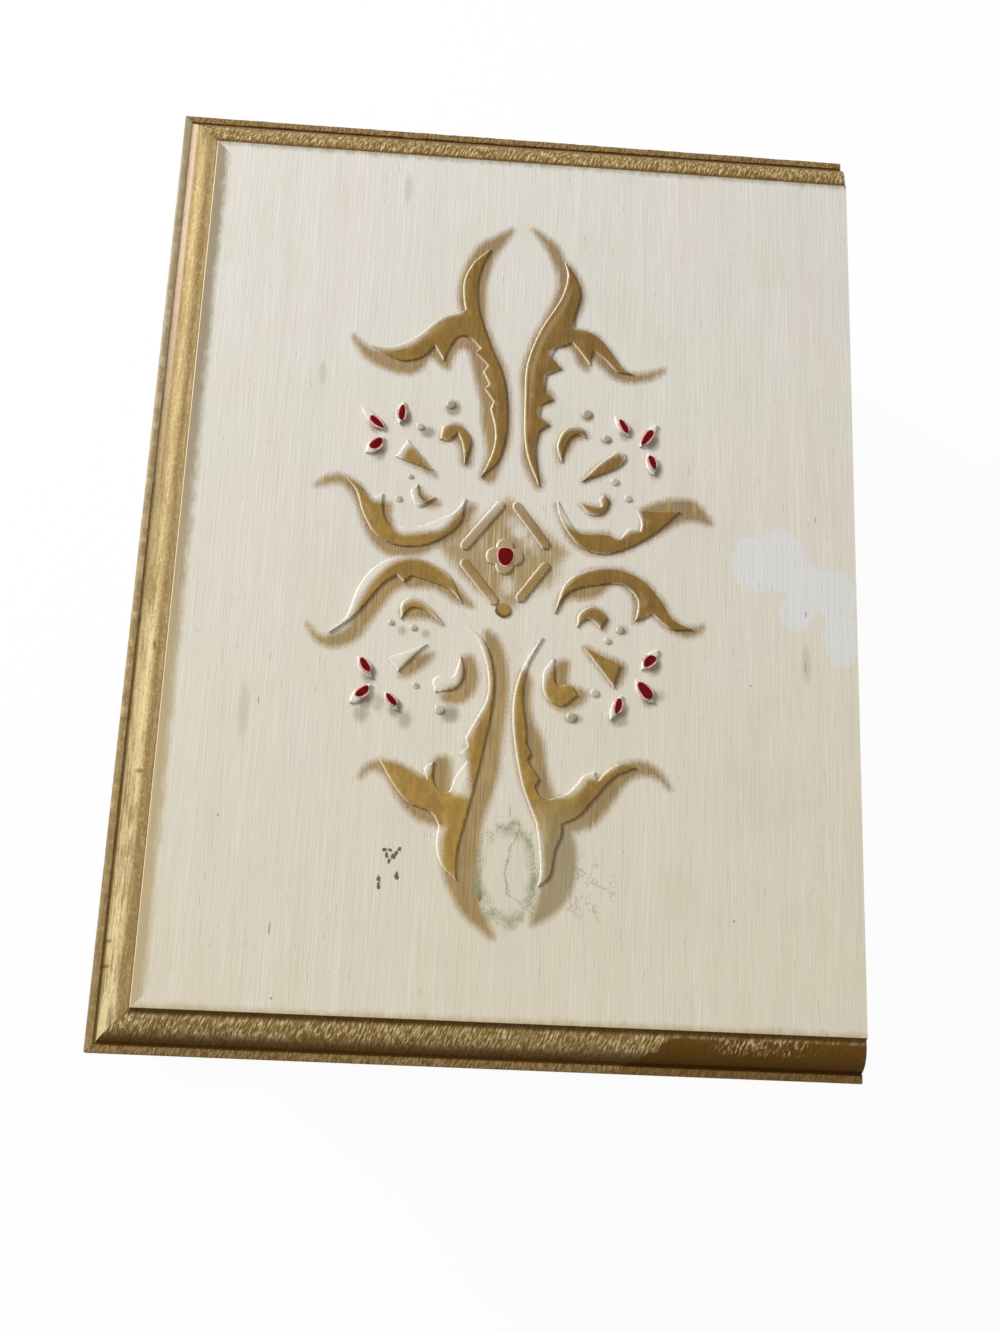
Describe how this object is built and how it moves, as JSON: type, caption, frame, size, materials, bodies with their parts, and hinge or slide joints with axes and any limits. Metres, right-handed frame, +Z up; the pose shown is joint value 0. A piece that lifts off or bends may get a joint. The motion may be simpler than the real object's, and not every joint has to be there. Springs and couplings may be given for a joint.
{
  "type": "jewelry box",
  "caption": "Flat-lidded rectangular wooden box with moulded lid and base, raised scroll ornament on the lid, lined compartments, ring rolls and a mirror.",
  "frame": {"origin": "centre of the felt face that the box stands on", "axes": "+X to the right end, along the length; +Y to the hinged back; +Z up"},
  "size_m": [0.254, 0.1898, 0.0937],
  "materials": {
    "painted_board": "ivory paint with gold moulding, satin, grain showing through",
    "gold_relief": "raised composition, sprayed gold",
    "red_paint": "dark red enamel touches",
    "brass_fittings": "aged brass",
    "steel_fixings": "plain steel",
    "base_felt": "dark green felt",
    "red_velvet": "deep red velvet",
    "bare_wood": "unfinished softwood",
    "mirror_glass": "silvered glass"
  },
  "bodies": {
    "box": {"base_board": "painted_board", "base_screws": "steel_fixings", "carcass_back": "painted_board", "carcass_front": "painted_board", "carcass_left_end": "painted_board", "carcass_right_end": "painted_board", "corner_brads": "steel_fixings", "divider_back": "red_velvet", "divider_front": "red_velvet", "divider_long": "red_velvet", "divider_ring": "red_velvet", "felt_base": "base_felt", "hinge_body_leaf_left": "brass_fittings", "hinge_body_leaf_right": "brass_fittings", "hinge_body_screws": "brass_fittings", "hinge_pin_left": "brass_fittings", "hinge_pin_right": "brass_fittings", "lining_back": "red_velvet", "lining_floor": "red_velvet", "lining_front": "red_velvet", "lining_left": "red_velvet", "lining_right": "red_velvet", "ring_rolls": "red_velvet", "ring_shelf": "red_velvet", "ring_shelf_supports": "bare_wood", "stay_post": "brass_fittings"},
    "lid": {"hinge_lid_leaf_left": "brass_fittings", "hinge_lid_leaf_right": "brass_fittings", "hinge_lid_screws": "brass_fittings", "lid_board": "painted_board", "mirror": "mirror_glass", "mirror_surround": "red_velvet", "relief_beads": "gold_relief", "relief_diamond": "gold_relief", "relief_drops": "gold_relief", "relief_flower": "gold_relief", "relief_flower_core": "red_paint", "relief_petals": "red_paint", "relief_scrolls": "gold_relief", "relief_side_leaves": "gold_relief", "relief_stems": "gold_relief", "stay_bracket": "brass_fittings", "stay_bracket_screws": "brass_fittings", "stay_rivet": "brass_fittings"},
    "stay_arm": {"stay_arm": "brass_fittings"}
  },
  "joints": [
    {"name": "lid_hinge", "type": "hinge", "parent": "box", "child": "lid", "pos_m": [0, 0.095, 0.07915], "axis": [-1, 0, 0], "range_deg": [0, 100]},
    {"name": "stay_swing", "type": "hinge", "parent": "lid", "child": "stay_arm", "pos_m": [0.1028, 0.06511, 0.07515], "axis": [-1, 0, 0], "range_deg": [-50, 0]}
  ],
  "couplings": [
    {"joint": "stay_swing", "follows": "lid_hinge", "ratio": -0.5}
  ]
}
